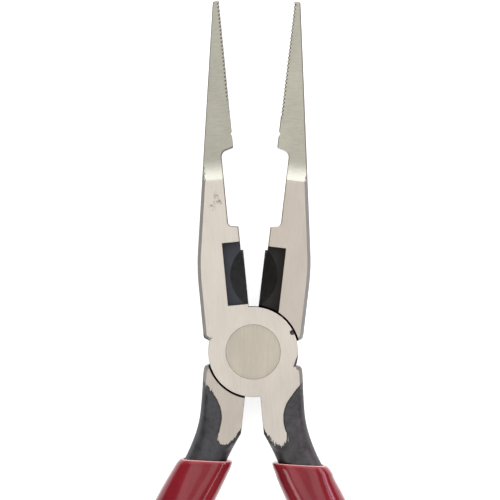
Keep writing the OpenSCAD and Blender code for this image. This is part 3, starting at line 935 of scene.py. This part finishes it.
# ---------- the two forgings ----------
def make_forgings():
    verts, faces = forging_mesh()
    blank = new_object("forging_blank", verts, faces)
    seat_z = MID + LAP_GAP / 2
    hole_r, head_r, mouth_r = SHANK_R + HEAD_SEAM, RIVET_R + HEAD_SEAM, RIVET_R + HEAD_SEAM + 0.02
    profile = [(0, -2), (SEAT_R, -2), (SEAT_R, seat_z), (hole_r, seat_z), (hole_r, JOINT_T - HEAD_H),
               (head_r, JOINT_T - HEAD_DRESS), (mouth_r, JOINT_T), (mouth_r, JOINT_T + 1), (0, JOINT_T + 1)]
    cutter = new_object("seat_cutter", *lathe(profile, CUTTER_SEGMENTS))
    modifier = blank.modifiers.new("seat", "BOOLEAN")
    modifier.operation, modifier.object, modifier.solver = "DIFFERENCE", cutter, "MANIFOLD"
    bake_modifiers(blank)
    bpy.data.objects.remove(cutter)
    local = coordinates(blank.data) / MM
    outline = np.concatenate([np.array(part) for part in forging_outline()])
    rim = distance(local[:, :2], outline, closed=True)
    bright = brightness(local)
    scoop = scoop_line(local[:, 1]) + local[:, 0]
    placed = local.copy()
    placed[:, 1] += slant(local)
    finishes = {"left": forged_steel("ground_steel_a", LEFT_LOOK),
                "right": forged_steel("ground_steel_b", RIGHT_LOOK)}
    for half in ("left", "right"):
        piece = bpy.data.objects.new(half + "_jaw", blank.data.copy())
        bpy.context.collection.objects.link(piece)
        attribute(piece.data, "local", local)
        attribute(piece.data, "bright", bright)
        attribute(piece.data, "rim", rim)
        attribute(piece.data, "scoop", scoop)
        piece.data.vertices.foreach_set("co", (set_open(placed, half) * MM).ravel())
        piece.data.update()
        smooth(piece)
        piece.data.materials.clear()
        piece.data.materials.append(finishes[half])
        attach(piece, half + "_jaw_half")
        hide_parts(half + "_jaw_forging")
    bpy.data.objects.remove(blank)


# ---------- the rivet ----------
def make_rivet():
    lower = [(0, 0), (RIVET_R * 0.5, 0.0), (RIVET_R - HEAD_DRESS, 0.0),
             (RIVET_R - 0.02, HEAD_DRESS * 0.4), (RIVET_R, HEAD_DRESS), (SHANK_R, HEAD_H)]
    upper = [(r, JOINT_T - z) for r, z in reversed(lower)]
    verts, faces = lathe(lower + upper, RIVET_SEGMENTS)
    piece = new_object("rivet", verts, faces)
    local = coordinates(piece.data) / MM
    attribute(piece.data, "local", local)
    smooth(piece, 30)
    piece.data.materials.append(rivet_steel())
    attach(piece, "left_jaw_half")
    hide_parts("pivot_rivet")


# ---------- the grips ----------
power = table((-36, 2.6), (-26, 3.6))
grip_width = table((-112, 12.4), (-75, 12.8), (-50, 12.6), (-35, 12.35), (-32, 12.15), (-29, 11.85),
                   (-27, 11.6))
grip_shift = table((-60, 0), (-36, -0.25), (-31, -0.25), (-26, -0.12))
GRIP_SIDES = 72
GRIP_STEP = 1.25
GRIP_END_R = 6.0
LIP_L = 2.2                                   # how far the rounded rim runs
LIP_W = 0.62                                  # how far it comes in, sideways
LIP_T = 0.55                                  # and in thickness
BODY_LEVEL = 3.0                              # the rim measure of all that is not the rim
# the mouth inside the rim: distance from the rim, width, thickness, share of the rim's shift
MOUTH = [(-9.0, 9.0, 9.1, 0.0), (-1.2, 9.02, 9.3, 0.0), (-0.35, 9.1, 9.4, 0.1), (-0.08, 9.4, 9.55, 0.4)]


def grip_ring(y, width, thick, rim_y, tilt, shift):
    """Superellipse across the handle; near the rim it follows the dip line instead."""
    follow = ramp(np.array(y), rim_y - 14.0, rim_y)
    turn = lean(y) * (1 - follow) + math.radians(tilt) * follow
    reach = width / 2 / math.cos(turn - lean(y))
    out = []
    for a in np.arange(GRIP_SIDES) * 2 * math.pi / GRIP_SIDES:
        c, s = math.cos(a), math.sin(a)
        along = reach * math.copysign(abs(c) ** (2 / power(y)), c)
        up = thick / 2 * math.copysign(abs(s) ** (2 / power(y)), s)
        out.append((centre_x(y) + shift + along * math.cos(turn), y + along * math.sin(turn), MID + up))
    return out


def make_grip(name, half, rim_y, tilt, offset, body, node, finish):
    """A dipped grip: a mouth 9 mm deep around the tang, then a filled body with the tang inside it."""
    rim_w = grip_width(rim_y - LIP_L)
    lip = list(MOUTH)
    for a in np.radians((90, 80, 70, 60, 50, 40, 28, 15, 0)):
        lip.append((-LIP_L * (1 - math.sin(a)), rim_w - 2 * LIP_W * (1 - math.cos(a)),
                    JOINT_T - 2 * LIP_T * (1 - math.cos(a)), 1.0 - 0.25 * math.sin(a)))
    rings, rim = [], []
    for dy, width, thick, share in lip:
        rings.append(grip_ring(rim_y + dy, width, thick, rim_y, tilt, share * grip_shift(rim_y)))
        rim.append(0.0 if dy > -0.2 else -dy)
    for y in np.arange(rim_y - LIP_L - 1.0, -GRIP_REACH + GRIP_END_R, -GRIP_STEP):
        rise = ramp(np.array(y), -60.0, -40.0)
        fall = 1 - ramp(np.array(y), rim_y - 6, rim_y)
        shift = grip_shift(y) + offset * rise * fall
        rings.append(grip_ring(y, grip_width(y), JOINT_T, rim_y, tilt, shift))
        rim.append(BODY_LEVEL)
    for a in np.radians(np.arange(0, 90, 7.5)):
        y, k = -GRIP_REACH + GRIP_END_R * (1 - math.sin(a)), math.sqrt(math.cos(a))
        rings.append(grip_ring(y, grip_width(y) * k, JOINT_T * k, rim_y, tilt, 0))
        rim.append(BODY_LEVEL)
    verts = [p for ring in rings for p in ring]
    n = GRIP_SIDES
    faces = [(k * n + i, k * n + (i + 1) % n, (k + 1) * n + (i + 1) % n, (k + 1) * n + i)
             for k in range(len(rings) - 1) for i in range(n)]
    for ring, order in ((0, 1), (len(rings) - 1, -1)):
        centre = np.mean(rings[ring], axis=0)
        if order < 0:
            centre[1] = -GRIP_REACH
        verts.append(tuple(centre))
        top = len(verts) - 1
        loop = [ring * n + i for i in range(n)]
        faces += [(top, a, b)[::order] for a, b in zip(loop, loop[1:] + loop[:1])]
    piece = new_object(name, verts, faces)
    local = coordinates(piece.data) / MM
    values = [v for v in rim for _ in range(n)] + [0.0, BODY_LEVEL]
    attribute(piece.data, "local", local)
    attribute(piece.data, "rim", np.array(values))
    piece.data.vertices.foreach_set("co", (set_open(local, half) * MM).ravel())
    piece.data.update()
    fix_normals(piece.data)
    smooth(piece, 60)
    piece.data.materials.append(finish)
    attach(piece, body)
    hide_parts(node)


# ---------- floor, light and camera ----------
def make_floor():
    size, low = 3.0, -0.00002                     # metres, just clear of the part
    corners = [(-size, -size, low), (size, -size, low), (size, size, low), (-size, size, low)]
    floor = new_object("floor", corners, [(0, 1, 2, 3)], 1.0)
    t = Tree("pale_floor", Roughness=0.9)
    place = t.nodes.new("ShaderNodeTexCoord").outputs["Object"]
    tone = t.noise(place, (2, 2, 2), 2.0)
    colour = t.mix(tone, rgb(0.86, 0.86, 0.855), rgb(0.88, 0.88, 0.875))
    t.shader.inputs["Emission Color"].default_value = (1, 1, 1, 1)
    t.shader.inputs["Emission Strength"].default_value = 0.75
    floor.data.materials.append(t.finish(Base_Color=colour))


def softbox(name, turn, away, y, size, watts, colour=(1, 1, 1)):
    """A rectangular light aimed at (0, y, 0) from that far away, swung from the zenith by turn (degrees)."""
    light = bpy.data.lights.new(name, "AREA")
    light.shape, light.energy, light.color = "RECTANGLE", watts, colour
    light.size, light.size_y = size
    lamp = bpy.data.objects.new(name, light)
    lamp.rotation_euler = [math.radians(a) for a in (-turn[1], turn[0], 0)]
    lamp.location = lamp.rotation_euler.to_matrix() @ Vector((0, 0, away)) + Vector((0, y, 0))
    bpy.context.collection.objects.link(lamp)


def make_lights():
    """A soft white room, brighter overhead and towards both ends, with six softboxes."""
    world = bpy.data.worlds.new("studio")
    world.use_nodes = True
    nodes, links = world.node_tree.nodes, world.node_tree.links
    nodes["Background"].inputs["Color"].default_value = (1, 1, 1, 1)
    direction = nodes.new("ShaderNodeTexCoord").outputs["Generated"]
    split = nodes.new("ShaderNodeSeparateXYZ")
    links.new(direction, split.inputs[0])

    def fade(value, low, high, out_low, out_high):
        node = nodes.new("ShaderNodeMapRange")
        node.interpolation_type = "SMOOTHSTEP"
        for index, number in enumerate((low, high, out_low, out_high)):
            node.inputs[index + 1].default_value = number
        links.new(value, node.inputs[0])
        return node.outputs[0]

    def node_math(kind, *sources):
        node = nodes.new("ShaderNodeMath")
        node.operation = kind
        for index, source in enumerate(sources):
            links.new(source, node.inputs[index])
        return node.outputs[0]

    overhead = fade(split.outputs[2], 0.90, 0.98, 0.23, 0.45)
    ends = fade(node_math("ABSOLUTE", split.outputs[1]), 0.42, 0.80, 0.0, 0.55)
    links.new(node_math("ADD", overhead, ends), nodes["Background"].inputs["Strength"])
    bpy.context.scene.world = world
    softbox("overhead_left", (-8.75, 0), 1.4, 0.0, (0.38, 1.6), 2.42)
    softbox("overhead_right", (11.4, 0), 1.4, 0.0, (0.36, 1.6), 2.31)
    softbox("left_strip", (-32, 0), 1.3, -0.65, (0.34, 1.0), 4.2)
    softbox("right_strip", (40, 0), 1.3, 0.0, (0.11, 2.2), 3.6)
    softbox("cool_strip", (53, 0), 1.3, 0.75, (0.24, 1.3), 7.5, (0.98, 0.68, 0.92))
    softbox("far_end", (0, 45), 1.35, 0.04, (1.2, 0.92), 4.6)


def make_camera():
    view_w = 0.1143                               # width of the view at the joint's upper face
    height = 0.75
    roll = math.radians(0.57)
    centre = Vector((-0.00096, 0.0233))
    camera = bpy.data.cameras.new("camera")
    camera.sensor_width = 36.0
    camera.lens = camera.sensor_width * height / view_w
    camera.clip_end = 10.0
    eye = bpy.data.objects.new("camera", camera)
    eye.location = (centre[0], centre[1], height + JOINT_T * MM)
    eye.rotation_euler = (0, 0, roll)
    bpy.context.collection.objects.link(eye)
    bpy.context.scene.camera = eye


make_forgings()
make_rivet()
vinyl = red_vinyl()
make_grip("right_grip", "left", -26.8, -9.0, -0.16, "left_jaw_half", "right_handle_grip", vinyl)
make_grip("left_grip", "right", -26.0, -4.0, 0.16, "right_jaw_half", "left_handle_grip", vinyl)
make_floor()
make_lights()
make_camera()
bpy.context.scene.view_settings.view_transform = "Standard"
